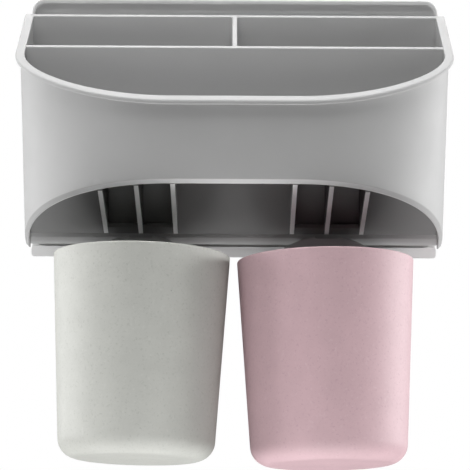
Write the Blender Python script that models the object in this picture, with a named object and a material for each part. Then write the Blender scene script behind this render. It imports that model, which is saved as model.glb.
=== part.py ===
"""Wall-mounted toothbrush organiser with two cups that hang on magnets.

Metres, +Z up. The wall is the plane y = 0, the room is towards -Y, and +X is the right of someone who looks at
the wall. The origin is the middle of the adhesive pad's back face. A depth is a distance in front of the wall.
"""

import math

import bmesh
import bpy
from mathutils import Matrix, Vector

# Fits
SEAT_GAP = 0.0003
SLIDE_GAP = 0.00035
BLEND = 0.0003  # how far shapes that are joined run into each other

# Wall plate and its adhesive pad
PLATE_WIDTH = 0.1884
PLATE_HEIGHT = 0.1200
PLATE_CORNER = 0.0062
PLATE_BACK = 0.0007  # depth of the plate's back face
PLATE_PANEL = 0.0030  # depth of the sunk panel's front face
PLATE_FRONT = 0.0044  # depth of the raised border's front face
PLATE_BORDER_TOP = 0.0022
PLATE_BORDER_SIDE = 0.0016
PLATE_BEVEL = 0.0009
PLATE_FOOT = 0.0050  # height of the sloped face along the plate's bottom edge
PLATE_FOOT_DEPTH = 0.0026
PAD_THICKNESS = 0.0010
PAD_MARGIN = 0.0080  # from the plate's edge to the pad's edge
PAD_CORNER = 0.0050

# Dovetail rails on the plate, and the guides on the body that hang on them
RAIL_SPACING = 0.0900
RAIL_BOTTOM = -0.0050
RAIL_LENGTH = 0.0320
RAIL_ROOT = 0.0070
RAIL_TIP = 0.0130
RAIL_HEIGHT = 0.0030
GUIDE_WIDTH = 0.0200
STOP_HEIGHT = 0.0040

# Body: its plan is a flat front with a quarter ellipse at each side, which is longer low down than high up
BODY_BACK = 0.0064  # depth of the back wall's rear face
BODY_DEPTH = 0.0801  # depth of the front wall's outer face
BODY_WIDTH = 0.1929
SIDE_FLARE = 0.038  # how fast the sides come together to the back
FRONT_FLAT = 0.0560
CORNER_HIGH = 0.0300  # front-to-back length of the corner curve at the top level
CORNER_LOW = 0.0720  # the same at the bottom level
LEVEL_HIGH = 0.0560
LEVEL_LOW = -0.0580
CORNER_STEPS = 16
WALL = 0.0018
TOP_AT_BACK = 0.0526  # height of the sloped top at the back wall's rear face
TOP_SLOPE = math.radians(28.1)
RIM_AT_BACK = -0.0555  # height of the sloped bottom at the back wall's rear face
RIM_SLOPE = math.radians(23.4)
RIM_ROUND = 0.0014
RIM_WALL = 0.0020  # wall thickness round the underside
BACK_FOOT = 0.0015  # how far the back wall ends above the side walls
BACK_CHAMFER = 0.0033  # how far its rear face reaches below its front face
LIP_OVERHANG = 0.0023
LIP_THICKNESS = 0.0021
LIP_ROUND = 0.0006
DIVIDER_DEPTH = 0.0368  # depth of the middle divider's front face
DIVIDER_WALL = 0.0018
CENTRE_WALL = 0.0022
FLOOR_TOP = -0.0080
FLOOR_WALL = 0.0020
POCKET_ROUND = 0.0040  # radius of the compartments' inner corners

# Brush rack under the body
RACK_SETBACK = 0.0046  # from the rim up to the rack's ceiling, at the back
RACK_SLOPE = math.radians(45)  # the ceiling is steeper than the rim, so that the ribs grow taller to the front
RACK_WALL = 0.0018
RIB_WALL = 0.0020
RIB_SPACING = 0.0161
WINDOW_FRONT = 0.0060  # border of the ceiling round the pockets, in front
WINDOW_BACK = 0.0030
GROUP_SPACING = 0.0860  # between the middle ribs of the two groups
POST_RADIUS = 0.0030
COLLAR_WALL = 0.0015
COLLAR_HEIGHT = 0.0040
SIDE_POST_SPACING = 0.1500
SIDE_POST_DEPTH = 0.0330
BACK_POST_DEPTH = 0.0240

# Paddles under the middle ribs, and the tongues of the back wall that carry them
PADDLE_RADIUS = 0.0347
PADDLE_THICKNESS = 0.0047
PADDLE_ROUND = 0.0009
PADDLE_TOP_DEPTH = 0.0128  # depth of the front face at the paddle's top
PADDLE_TOP_HEIGHT = -0.0490
NOTCH_WIDTH = 0.0112
NOTCH_DEPTH = 0.0016
TONGUE_WIDTH = 0.0240
TONGUE_WALL = 0.0020
TONGUE_BELOW = 0.0125  # how far a tongue reaches below its paddle's centre
PIN_RADIUS = 0.0016
LOW_PIN = 0.0150  # above the paddle's centre
HIGH_PIN = 0.0240
PIN_LENGTH = 0.0016
MAGNET_RADIUS = 0.0090
MAGNET_THICKNESS = 0.0030

# Cups
CUP_RIM_RADIUS = 0.0393
CUP_BASE_RADIUS = 0.0343
CUP_HEIGHT = 0.0909
CUP_WALL = 0.0018
CUP_BASE_ROUND = 0.0088
CUP_RIM_ROUND = 0.0006
CUP_TILT = math.radians(12.3)
CUP_SPLAY = math.radians(1.1)
CUP_SPACING = 0.0822  # between the cups at their magnets
CUP_DROPS = {"left": 0.0, "right": 0.0020}  # where each cup hangs, below its paddle's centre
CUP_SIDES = 64
BOSS_RADIUS = 0.0110
BOSS_PROUD = 0.0015
BOSS_DROP = 0.0170  # from the rim down the wall to the boss's centre
CUP_MAGNET_RADIUS = 0.0072
CUP_MAGNET_THICKNESS = 0.0013
CUP_CAP_THICKNESS = 0.0007
CUP_CAP_LEDGE = 0.0014

ROUND_SIDES = 32
PADDLE_SIDES = 72
SIDES = {"left": -1, "right": 1}
CUP_TAPER = math.atan((CUP_RIM_RADIUS - CUP_BASE_RADIUS) / CUP_HEIGHT)
PADDLE_LEAN = CUP_TILT + CUP_TAPER

COLOURS = {
    "plate_grey": ((0.72, 0.71, 0.70), 0.45, 0.0),
    "body_grey": ((0.70, 0.69, 0.68), 0.42, 0.0),
    "rack_grey": ((0.68, 0.67, 0.66), 0.45, 0.0),
    "paddle_grey": ((0.62, 0.62, 0.61), 0.45, 0.0),
    "cap_grey": ((0.60, 0.60, 0.60), 0.5, 0.0),
    "pad_foam": ((0.82, 0.82, 0.80), 0.8, 0.0),
    "magnet_nickel": ((0.66, 0.66, 0.67), 0.3, 1.0),
    "cup_stone": ((0.66, 0.67, 0.62), 0.6, 0.0),
    "cup_pink": ((0.74, 0.55, 0.59), 0.6, 0.0),
}


def clear_scene():
    """Removes every object and mesh that the file opened with."""
    for thing in list(bpy.data.objects):
        bpy.data.objects.remove(thing, do_unlink=True)
    for mesh in list(bpy.data.meshes):
        bpy.data.meshes.remove(mesh)


def new_collection(name):
    collection = bpy.data.collections.new(name)
    bpy.context.scene.collection.children.link(collection)
    return collection


def material(name):
    """The named plastic or metal, made the first time it is asked for."""
    made = bpy.data.materials.get(name)
    if made:
        return made
    colour, roughness, metallic = COLOURS[name]
    made = bpy.data.materials.new(name)
    made.use_nodes = True
    shader = made.node_tree.nodes["Principled BSDF"]
    shader.inputs["Base Color"].default_value = (*colour, 1.0)
    shader.inputs["Roughness"].default_value = roughness
    shader.inputs["Metallic"].default_value = metallic
    return made


def add_object(name, bm, collection, finish=None):
    """Turns a bmesh into an object of the collection."""
    bmesh.ops.recalc_face_normals(bm, faces=bm.faces)
    mesh = bpy.data.meshes.new(name)
    bm.to_mesh(mesh)
    bm.free()
    made = bpy.data.objects.new(name, mesh)
    collection.objects.link(made)
    if finish:
        mesh.materials.append(material(finish))
    else:
        made.hide_render = True
        made.display_type = "WIRE"
    return made


def combine(target, other, operation):
    """Adds a Boolean with the exact solver to the target."""
    step = target.modifiers.new(f"{operation.lower()} {other.name}", "BOOLEAN")
    step.operation = operation
    step.solver = "EXACT"
    step.object = other


def shade(thing, angle=math.radians(35)):
    thing.data.shade_smooth()
    thing.data.set_sharp_from_angle(angle=angle)


def prism(outline, low, high):
    """A solid over a flat outline of (x, y) points, from one height to another."""
    bm = bmesh.new()
    corners = [bm.verts.new((x, y, low)) for x, y in outline]
    face = bm.faces.new(corners)
    grown = bmesh.ops.extrude_face_region(bm, geom=[face])["geom"]
    lifted = [part for part in grown if isinstance(part, bmesh.types.BMVert)]
    bmesh.ops.translate(bm, verts=lifted, vec=(0, 0, high - low))
    return bm


def box(x_range, depth_range, z_range):
    """A block between two values of x, of depth and of height."""
    low = Vector((x_range[0], -depth_range[1], z_range[0]))
    high = Vector((x_range[1], -depth_range[0], z_range[1]))
    size = high - low
    bm = bmesh.new()
    place = Matrix.Translation((low + high) / 2) @ Matrix.Diagonal((*size, 1.0))
    bmesh.ops.create_cube(bm, size=1.0, matrix=place)
    return bm


def disc(radius, low, high, sides=ROUND_SIDES):
    """A round solid about the Z axis, from one height to another."""
    bm = bmesh.new()
    place = Matrix.Translation((0, 0, (low + high) / 2))
    bmesh.ops.create_cone(
        bm, cap_ends=True, segments=sides, radius1=radius, radius2=radius, depth=high - low, matrix=place
    )
    return bm


def arc(centre, radius, start, end, steps):
    """Points of a circular arc, in degrees, both ends included."""
    turns = [math.radians(start + (end - start) * i / steps) for i in range(steps + 1)]
    return [(centre[0] + radius * math.cos(a), centre[1] + radius * math.sin(a)) for a in turns]


def rounded_rectangle(width, height, radius, steps=6):
    """Outline of a rectangle with round corners about the origin, anticlockwise."""
    x, y = width / 2 - radius, height / 2 - radius
    points = []
    for sx, sy, start in ((1, -1, -90), (1, 1, 0), (-1, 1, 90), (-1, -1, 180)):
        points += arc((sx * x, sy * y), radius, start, start + 90, steps)
    return points


def stand_up(bm):
    """Turns a solid drawn in plan so that its Y runs up the wall and its Z runs from the wall to the room."""
    bmesh.ops.transform(bm, matrix=Matrix.Rotation(math.pi / 2, 4, "X"), verts=bm.verts)
    return bm


def bevel_edges(bm, edges, width, segments=2):
    bmesh.ops.bevel(
        bm, geom=edges, offset=width, segments=segments, profile=0.5, affect="EDGES", material=-1
    )


def top_height(depth):
    """Height of the body's sloped top at a depth."""
    return TOP_AT_BACK - (depth - BODY_BACK) * math.tan(TOP_SLOPE)


def rim_height(depth):
    """Height of the body's sloped bottom at a depth."""
    return RIM_AT_BACK + (depth - BODY_BACK) * math.tan(RIM_SLOPE)


def body_outline(level, inset):
    """The body's plan at a height, moved in from the outer wall by inset and running on past the wall."""
    share = (level - LEVEL_LOW) / (LEVEL_HIGH - LEVEL_LOW)
    corner = CORNER_LOW + (CORNER_HIGH - CORNER_LOW) * share
    flat = FRONT_FLAT / 2
    half = BODY_WIDTH / 2 - inset
    turn_depth = BODY_DEPTH - corner
    right = [(half - SIDE_FLARE * 2 * turn_depth, turn_depth)]
    for i in range(CORNER_STEPS + 1):
        angle = math.pi / 2 * i / CORNER_STEPS
        x = flat + (half - flat) * math.cos(angle)
        depth = turn_depth + (corner - inset) * math.sin(angle)
        right.append((x, -depth))
    return right + [(-x, y) for x, y in reversed(right)]


def loft(low, high, inset, back):
    """The body's plan as a solid between two heights, each section drawn at its own level, cut off at back."""
    bm = bmesh.new()
    rings = []
    for level in (low, high):
        verts = [bm.verts.new((x, y, level)) for x, y in body_outline(level, inset)]
        ends = zip(verts, verts[1:] + verts[:1])
        rings.append([bm.edges.new(pair) for pair in ends])
    bmesh.ops.bridge_loops(bm, edges=rings[0] + rings[1])
    for ring in rings:
        bmesh.ops.contextual_create(bm, geom=ring)
    cut_flat(bm, (0, -back, 0), (0, 1, 0))
    return bm


def cut_flat(bm, point, normal):
    """Takes away what lies beyond a plane, on the side its normal points to, and closes the cut."""
    geom = bm.verts[:] + bm.edges[:] + bm.faces[:]
    cut = bmesh.ops.bisect_plane(bm, geom=geom, plane_co=point, plane_no=normal, clear_outer=True)
    edges = [part for part in cut["geom_cut"] if isinstance(part, bmesh.types.BMEdge)]
    return bmesh.ops.contextual_create(bm, geom=edges)["faces"]


def cut_slope(bm, height, slope, keep_below):
    """Cuts a solid with the plane that has this height at the body's back and rises by slope to the front."""
    normal = Vector((0, math.sin(slope), math.cos(slope)))
    if not keep_below:
        normal = -normal
    return cut_flat(bm, Vector((0, -BODY_BACK, height)), normal)


def wall_adhesive_pad(parts):
    """Foam pad that sticks the plate to the wall."""
    width = PLATE_WIDTH - 2 * PAD_MARGIN
    height = PLATE_HEIGHT - 2 * PAD_MARGIN
    bm = stand_up(prism(rounded_rectangle(width, height, PAD_CORNER), 0.0, PAD_THICKNESS))
    return add_object("wall_adhesive_pad", bm, parts, "pad_foam")


def plate_outline():
    """The plate's front view: round corners at the top, small ones at the bottom."""
    half, top = PLATE_WIDTH / 2, PLATE_HEIGHT / 2
    small = PLATE_CORNER / 5
    points = arc((half - small, small - top), small, -90, 0, 3)
    points += arc((half - PLATE_CORNER, top - PLATE_CORNER), PLATE_CORNER, 0, 90, 8)
    points += arc((PLATE_CORNER - half, top - PLATE_CORNER), PLATE_CORNER, 90, 180, 8)
    points += arc((small - half, small - top), small, 180, 270, 3)
    return points


def wall_plate(parts, cutters):
    """Plate with a sunk panel, a bevelled border, a sloped foot and two dovetail rails."""
    bm = prism(plate_outline(), PLATE_BACK, PLATE_FRONT)
    front = [e for e in bm.edges if all(v.co.z > PLATE_FRONT - 1e-6 for v in e.verts)]
    bevel_edges(bm, front, PLATE_BEVEL, 3)
    plate = add_object("wall_plate", stand_up(bm), parts, "plate_grey")

    half = PLATE_WIDTH / 2
    foot_top = PLATE_FOOT - PLATE_HEIGHT / 2
    panel_top = PLATE_HEIGHT / 2 - PLATE_BORDER_TOP
    panel_half = half - PLATE_BORDER_SIDE
    panel = prism(
        rounded_rectangle(2 * panel_half, panel_top - foot_top, PLATE_CORNER - PLATE_BORDER_SIDE),
        PLATE_PANEL,
        2 * PLATE_FRONT,
    )
    bmesh.ops.translate(panel, verts=panel.verts, vec=(0, (panel_top + foot_top) / 2, 0))
    combine(plate, add_object("plate_panel_cut", stand_up(panel), cutters), "DIFFERENCE")

    pad_width = PLATE_WIDTH - 2 * PAD_MARGIN + 2 * SEAT_GAP
    pad_height = PLATE_HEIGHT - 2 * PAD_MARGIN + 2 * SEAT_GAP
    seat = prism(
        rounded_rectangle(pad_width, pad_height, PAD_CORNER + SEAT_GAP), -PLATE_BACK, PAD_THICKNESS + SEAT_GAP
    )
    combine(plate, add_object("plate_pad_cut", stand_up(seat), cutters), "DIFFERENCE")

    slope = PLATE_FOOT / PLATE_FOOT_DEPTH
    beyond = 2 * PLATE_FOOT_DEPTH
    wedge = [
        (-PLATE_FRONT - BLEND, foot_top + BLEND * slope),
        (-PLATE_FRONT + beyond, foot_top - beyond * slope),
        (-PLATE_FRONT - beyond, foot_top - beyond * slope),
        (-PLATE_FRONT - beyond, foot_top + BLEND * slope),
    ]
    foot = extrude_along_x(wedge, -PLATE_WIDTH, PLATE_WIDTH)
    combine(plate, add_object("plate_foot_cut", foot, cutters), "DIFFERENCE")

    for side, sign in SIDES.items():
        rail = prism(rail_outline(0.0, sign), RAIL_BOTTOM, RAIL_BOTTOM + RAIL_LENGTH)
        combine(plate, add_object(f"rail_{side}", rail, cutters), "UNION")
    return plate


def extrude_along_x(outline, low, high):
    """A solid over an outline of (y, z) points, between two values of x."""
    bm = prism(outline, low, high)
    turn = Matrix(((0, 0, 1, 0), (1, 0, 0, 0), (0, 1, 0, 0), (0, 0, 0, 1)))
    bmesh.ops.transform(bm, matrix=turn, verts=bm.verts)
    return bm


def rail_half_width(depth):
    """Half width of a dovetail rail at a depth."""
    share = (depth - PLATE_PANEL) / RAIL_HEIGHT
    return (RAIL_ROOT + (RAIL_TIP - RAIL_ROOT) * share) / 2


def rail_outline(gap, sign):
    """Plan of a dovetail rail, grown by gap."""
    root = PLATE_PANEL - BLEND
    tip = PLATE_PANEL + RAIL_HEIGHT
    middle = sign * RAIL_SPACING / 2
    inner, outer = rail_half_width(root) + gap, rail_half_width(tip) + gap
    return [
        (middle - inner, -root),
        (middle - outer, -tip),
        (middle + outer, -tip),
        (middle + inner, -root),
    ]


def add_guides(body, cutters):
    """Dovetail channels on the back wall, each closed by a stop that sits on the rail's top."""
    low = RAIL_BOTTOM
    seat = RAIL_BOTTOM + RAIL_LENGTH + SEAT_GAP
    near = PLATE_FRONT + SLIDE_GAP
    far = BODY_BACK + BLEND
    for side, sign in SIDES.items():
        middle = sign * RAIL_SPACING / 2
        for hand in (-1, 1):
            flank = [
                (middle + hand * (rail_half_width(near) + SLIDE_GAP), -near),
                (middle + hand * GUIDE_WIDTH / 2, -near),
                (middle + hand * GUIDE_WIDTH / 2, -far),
                (middle + hand * (rail_half_width(far) + SLIDE_GAP), -far),
            ]
            strip = prism(flank, low, seat + STOP_HEIGHT)
            name = f"guide_{side}_{'inner' if hand * sign < 0 else 'outer'}"
            combine(body, add_object(name, strip, cutters), "UNION")
        stop_half = GUIDE_WIDTH / 2 - BLEND
        stop = box((middle - stop_half, middle + stop_half), (near + BLEND, far), (seat, seat + STOP_HEIGHT - BLEND))
        combine(body, add_object(f"stop_{side}", stop, cutters), "UNION")


def body_block():
    """The body's outside as one solid, from inside the flange down to its sloped bottom."""
    bm = loft(LEVEL_LOW, LEVEL_HIGH, 0.0, BODY_BACK)
    cut_slope(bm, TOP_AT_BACK - LIP_THICKNESS / 2, -TOP_SLOPE, keep_below=True)
    bottom = cut_slope(bm, RIM_AT_BACK, RIM_SLOPE, keep_below=False)
    edges = [
        e for e in bottom[0].edges if not all(abs(v.co.y + BODY_BACK) < 1e-6 for v in e.verts)
    ]
    bevel_edges(bm, edges, RIM_ROUND, 2)
    return bm


def organiser_body(parts, cutters):
    """Shell with a flange, three compartments, an open underside and its guides."""
    body = add_object("organiser_body", body_block(), parts, "body_grey")

    lip = loft(LEVEL_LOW, LEVEL_HIGH, -LIP_OVERHANG, BODY_BACK - BLEND)
    cut_slope(lip, TOP_AT_BACK, -TOP_SLOPE, keep_below=True)
    cut_slope(lip, TOP_AT_BACK - LIP_THICKNESS / math.cos(TOP_SLOPE), -TOP_SLOPE, keep_below=False)
    outer = [e for e in lip.edges if e.calc_face_angle(0) > math.radians(50)]
    bevel_edges(lip, outer, LIP_ROUND, 2)
    combine(body, add_object("lip", lip, cutters), "UNION")

    cut_back_foot(body, cutters)
    cut_compartments(body, cutters)
    hollow = loft(LEVEL_LOW, FLOOR_TOP - FLOOR_WALL, RIM_WALL, BODY_BACK + WALL)
    combine(body, add_object("underside_cut", hollow, cutters), "DIFFERENCE")
    add_posts(body, cutters)
    add_guides(body, cutters)
    add_tongues(body, cutters)
    return body


def cut_back_foot(body, cutters):
    """Ends the back wall above the side walls, with a chamfer from its front face down to its rear face."""
    rear = RIM_AT_BACK + BACK_FOOT
    below = LEVEL_LOW - WALL
    profile = [
        (-(BODY_BACK - WALL), rear - BACK_CHAMFER),
        (-(BODY_BACK - WALL), below),
        (-(BODY_BACK + 2 * WALL), below),
        (-(BODY_BACK + 2 * WALL), rear + 2 * BACK_CHAMFER),
    ]
    half = BODY_WIDTH / 2 - 3 * RIM_WALL / 2
    combine(body, add_object("back_foot_cut", extrude_along_x(profile, -half, half), cutters), "DIFFERENCE")


def cut_compartments(body, cutters):
    """The half-moon compartment in front and the two behind it."""
    inside = BODY_BACK + WALL
    above = LEVEL_HIGH + WALL
    front = loft(FLOOR_TOP, above, WALL, DIVIDER_DEPTH)
    combine(body, add_object("front_compartment_cut", front, cutters), "DIFFERENCE")
    far = DIVIDER_DEPTH - DIVIDER_WALL
    for side, sign in SIDES.items():
        rear = loft(FLOOR_TOP, above, WALL, inside)
        cut_flat(rear, (0, -far, 0), (0, -1, 0))
        cut_flat(rear, (sign * CENTRE_WALL / 2, 0, 0), (-sign, 0, 0))
        soften(rear)
        combine(body, add_object(f"rear_compartment_{side}_cut", rear, cutters), "DIFFERENCE")


def soften(bm):
    """Rounds the upright corners of a rear compartment's cutter, apart from the one at the curved wall."""
    bmesh.ops.recalc_face_normals(bm, faces=bm.faces)
    middle = -(BODY_BACK + DIVIDER_DEPTH) / 2
    corners = []
    for edge in bm.edges:
        one, two = (vert.co for vert in edge.verts)
        upright = abs(one.z - two.z) > 0.9 * (one - two).length
        roomy = one.y > middle or abs(one.x) < CENTRE_WALL
        if upright and roomy and edge.calc_face_angle(0) > math.radians(50):
            corners.append(edge)
    bevel_edges(bm, corners, POCKET_ROUND, 3)


def ceiling_height(depth):
    """Height of the rack's ceiling, seen from below, at a depth."""
    return RIM_AT_BACK + RACK_SETBACK + (depth - BODY_BACK) * math.tan(RACK_SLOPE)


def add_posts(body, cutters):
    """Posts under the floor that locate the brush rack."""
    for number, (x, depth) in enumerate(post_places()):
        foot = ceiling_height(depth + POST_RADIUS + COLLAR_WALL) + 3 * RACK_WALL / 2 + SEAT_GAP
        post = disc(POST_RADIUS, foot, FLOOR_TOP - FLOOR_WALL + BLEND, 24)
        bmesh.ops.translate(post, verts=post.verts, vec=(x, -depth, 0))
        combine(body, add_object(f"post_{number}", post, cutters), "UNION")


def post_places():
    """The x and the depth of each post."""
    side = SIDE_POST_SPACING / 2
    return [(-side, SIDE_POST_DEPTH), (side, SIDE_POST_DEPTH), (0.0, BACK_POST_DEPTH)]


def wall_depth(x, inset):
    """Depth at which the curved wall, moved in by inset, meets the rim's plane at this distance from the middle."""
    depth = BODY_DEPTH - inset
    for _ in range(4):
        plan = [p for p in body_outline(rim_height(depth), inset) if p[0] >= 0]
        for (x1, y1), (x2, y2) in zip(plan, plan[1:]):
            if x2 <= x <= x1:
                depth = -(y1 + (y2 - y1) * (x1 - x) / (x1 - x2))
    return min(depth, BODY_DEPTH - inset)


def brush_rack(parts, cutters):
    """Sloped ceiling with six ribs, open pockets between them and collars for the posts."""
    inset = RIM_WALL + SEAT_GAP
    back = BODY_BACK + WALL + SEAT_GAP
    high = FLOOR_TOP - FLOOR_WALL - SEAT_GAP
    bm = loft(LEVEL_LOW, high, inset, back)
    cut_slope(bm, RIM_AT_BACK + RACK_SETBACK + RACK_WALL, RACK_SLOPE, keep_below=True)
    cut_slope(bm, RIM_AT_BACK + RACK_SETBACK, RACK_SLOPE, keep_below=False)
    rack = add_object("brush_rack", bm, parts, "rack_grey")

    near = -back - WINDOW_BACK
    for side, sign in SIDES.items():
        middle = sign * GROUP_SPACING / 2
        plan = []
        for x in (middle - RIB_SPACING, middle + RIB_SPACING):
            plan.append((x, WINDOW_FRONT - wall_depth(abs(x), inset)))
        plan += [(plan[1][0], near), (plan[0][0], near)]
        window = prism(plan, LEVEL_LOW, LEVEL_HIGH)
        combine(rack, add_object(f"window_{side}_cut", window, cutters), "DIFFERENCE")
        for number in (-1, 0, 1):
            x = middle + number * RIB_SPACING
            front = wall_depth(abs(x) + RIB_WALL / 2, inset + BLEND)
            rear = back + BLEND
            heel = ceiling_height(rear) - BLEND
            profile = [(-rear, high), (-rear, heel), (-front, rim_height(front)), (-front, high)]
            rib = extrude_along_x(profile, x - RIB_WALL / 2, x + RIB_WALL / 2)
            combine(rack, add_object(f"rib_{side}_{number + 2}", rib, cutters), "UNION")
    for number, (x, depth) in enumerate(post_places()):
        low = ceiling_height(depth + POST_RADIUS + COLLAR_WALL) + RACK_WALL / 2
        high = ceiling_height(depth + POST_RADIUS + COLLAR_WALL) + RACK_WALL + COLLAR_HEIGHT
        collar = disc(POST_RADIUS + SEAT_GAP + COLLAR_WALL, low, high, 24)
        bmesh.ops.translate(collar, verts=collar.verts, vec=(x, -depth, 0))
        combine(rack, add_object(f"collar_{number}", collar, cutters), "UNION")
        bore = disc(POST_RADIUS + SEAT_GAP, low + RACK_WALL, high + BLEND, 24)
        bmesh.ops.translate(bore, verts=bore.verts, vec=(x, -depth, 0))
        combine(rack, add_object(f"collar_bore_{number}", bore, cutters), "DIFFERENCE")
    return rack


def paddle_matrix(sign):
    """Places a paddle: its Z points at the room and a little up, its Y up along the paddle."""
    top = Vector((sign * GROUP_SPACING / 2, -PADDLE_TOP_DEPTH, PADDLE_TOP_HEIGHT))
    upwards = Vector((0, math.sin(PADDLE_LEAN), math.cos(PADDLE_LEAN)))
    turn = Matrix.Rotation(math.pi / 2 - PADDLE_LEAN, 4, "X")
    return Matrix.Translation(top - upwards * PADDLE_RADIUS) @ turn


def add_tongues(body, cutters):
    """Tongues that run down from the back wall behind the paddles, with holes for the paddles' pins."""
    front = -PADDLE_THICKNESS - SEAT_GAP
    rear = front - TONGUE_WALL
    for side, sign in SIDES.items():
        place = paddle_matrix(sign)
        upper = place @ Vector((0, PADDLE_RADIUS, front))
        lower_front = place @ Vector((0, -TONGUE_BELOW, front))
        lower_rear = place @ Vector((0, -TONGUE_BELOW, rear))
        near, far = BODY_BACK + BLEND, BODY_BACK + WALL - BLEND
        root_front = upper.z + (-upper.y - far) / math.tan(PADDLE_LEAN)
        root_rear = lower_rear.z + (-lower_rear.y - near) / math.tan(PADDLE_LEAN)
        outline = [
            (-near, root_rear),
            (lower_rear.y, lower_rear.z),
            (lower_front.y, lower_front.z),
            (-far, root_front),
            (-far, root_front + TONGUE_WALL),
            (-near, root_front + TONGUE_WALL),
        ]
        middle = sign * GROUP_SPACING / 2
        tongue = extrude_along_x(outline, middle - TONGUE_WIDTH / 2, middle + TONGUE_WIDTH / 2)
        level = (lower_front.z + lower_rear.z) / 2
        ends = [
            e
            for e in tongue.edges
            if abs(e.verts[0].co.x - e.verts[1].co.x) < BLEND and max(v.co.z for v in e.verts) < level + TONGUE_WALL
        ]
        bevel_edges(tongue, ends, TONGUE_WIDTH / 2 - BLEND, 8)
        combine(body, add_object(f"tongue_{side}", tongue, cutters), "UNION")
        for number, height in enumerate((LOW_PIN, HIGH_PIN)):
            hole = disc(PIN_RADIUS + SEAT_GAP, rear - TONGUE_WALL / 2, front + TONGUE_WALL / 2, 16)
            lift = Matrix.Translation((0, height, 0))
            bmesh.ops.transform(hole, matrix=place @ lift, verts=hole.verts)
            combine(body, add_object(f"pin_hole_{side}_{number}_cut", hole, cutters), "DIFFERENCE")


def cup_paddle(side, sign, parts, cutters):
    """Round paddle with a notch for the rib above it, a magnet pocket in its back and two pins."""
    place = paddle_matrix(sign)
    bm = disc(PADDLE_RADIUS, -PADDLE_THICKNESS, 0.0, PADDLE_SIDES)
    rims = [e for e in bm.edges if e.calc_face_angle(0) > math.radians(60)]
    bevel_edges(bm, rims, PADDLE_ROUND, 2)
    paddle = add_object(f"cup_paddle_{side}", bm, parts, "paddle_grey")

    notch = slab(NOTCH_WIDTH, PADDLE_RADIUS - NOTCH_DEPTH, PADDLE_RADIUS + NOTCH_DEPTH, PADDLE_THICKNESS)
    corners = [e for e in notch.edges if abs(e.verts[0].co.z - e.verts[1].co.z) > PADDLE_THICKNESS]
    low = [e for e in corners if e.verts[0].co.y < PADDLE_RADIUS]
    bevel_edges(notch, low, NOTCH_DEPTH / 2, 2)
    pocket = disc(
        MAGNET_RADIUS + SEAT_GAP, -PADDLE_THICKNESS - BLEND, MAGNET_THICKNESS + SEAT_GAP - PADDLE_THICKNESS
    )
    for name, cutter in (("notch", notch), ("pocket", pocket)):
        combine(paddle, add_object(f"paddle_{name}_{side}_cut", cutter, cutters), "DIFFERENCE")
    for number, height in enumerate((LOW_PIN, HIGH_PIN)):
        pin = disc(PIN_RADIUS, -PADDLE_THICKNESS - PIN_LENGTH, -PADDLE_THICKNESS / 2, 16)
        bmesh.ops.translate(pin, verts=pin.verts, vec=(0, height, 0))
        combine(paddle, add_object(f"paddle_pin_{side}_{number}", pin, cutters), "UNION")
    paddle.matrix_world = place
    for step in paddle.modifiers:
        step.object.matrix_world = place

    magnet = disc(MAGNET_RADIUS, -PADDLE_THICKNESS, MAGNET_THICKNESS - PADDLE_THICKNESS)
    made = add_object(f"paddle_magnet_{side}", magnet, parts, "magnet_nickel")
    made.matrix_world = place
    return paddle


def slab(width, low, high, depth):
    """A block about x = 0 between two values of y, that runs well past both faces of a plate this deep."""
    bm = bmesh.new()
    place = Matrix.Translation((0, (low + high) / 2, -depth / 2))
    size = Matrix.Diagonal((width, high - low, 2 * depth, 1.0))
    bmesh.ops.create_cube(bm, size=1.0, matrix=place @ size)
    return bm


def cup_radius(height):
    """The cup's outer radius at a height above its base."""
    return CUP_BASE_RADIUS + (CUP_RIM_RADIUS - CUP_BASE_RADIUS) * height / CUP_HEIGHT


def cup_profile():
    """The cup's section as (radius, height) points, down its outside and up its inside."""
    turn = 90 - math.degrees(CUP_TAPER)
    centre_x = cup_radius(CUP_BASE_ROUND) - CUP_BASE_ROUND / math.cos(CUP_TAPER)
    corner = arc((centre_x, CUP_BASE_ROUND), CUP_BASE_ROUND, 90 - turn, -90, 8)
    inner_round = CUP_BASE_ROUND - CUP_WALL
    inner = arc((centre_x, CUP_BASE_ROUND), inner_round, -90, 90 - turn, 6)
    lip_out = (cup_radius(CUP_HEIGHT - CUP_RIM_ROUND), CUP_HEIGHT - CUP_RIM_ROUND)
    lip_in = (CUP_RIM_RADIUS - CUP_WALL, CUP_HEIGHT - CUP_RIM_ROUND)
    rim = [
        (lip_in[0] + CUP_RIM_ROUND, CUP_HEIGHT),
        (lip_out[0] - CUP_RIM_ROUND, CUP_HEIGHT),
        lip_out,
    ]
    return rim + corner + [(0.0, 0.0)], [(0.0, CUP_WALL)] + inner + [lip_in]


def cup_matrix(side, sign):
    """Places a cup: its origin is its base's centre, its Z runs up its axis and its Y to the wall."""
    outboard = sign * (CUP_SPACING - GROUP_SPACING) / 2
    contact = paddle_matrix(sign) @ Matrix.Translation((outboard, -CUP_DROPS[side], SEAT_GAP))
    splay = Matrix.Rotation(sign * CUP_SPLAY, 4, "Z")
    upright = Matrix.Rotation(PADDLE_LEAN - math.pi / 2, 4, "X")
    lean = Matrix.Rotation(-CUP_TILT, 4, "X")
    return contact @ splay @ upright @ lean @ Matrix.Translation(-boss_point())


def boss_point():
    """Centre of the boss's outer face, in the cup's own frame."""
    down = BOSS_DROP
    rim = Vector((0, CUP_RIM_RADIUS, CUP_HEIGHT))
    along = Vector((0, -math.sin(CUP_TAPER), -math.cos(CUP_TAPER)))
    outwards = Vector((0, math.cos(CUP_TAPER), -math.sin(CUP_TAPER)))
    return rim + along * down + outwards * BOSS_PROUD


def boss_matrix():
    """The boss's frame in the cup's own frame: its Z points into the cup, from its outer face."""
    inwards = Matrix.Rotation(math.pi / 2 - CUP_TAPER, 4, "X")
    return Matrix.Translation(boss_point()) @ inwards


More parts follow.
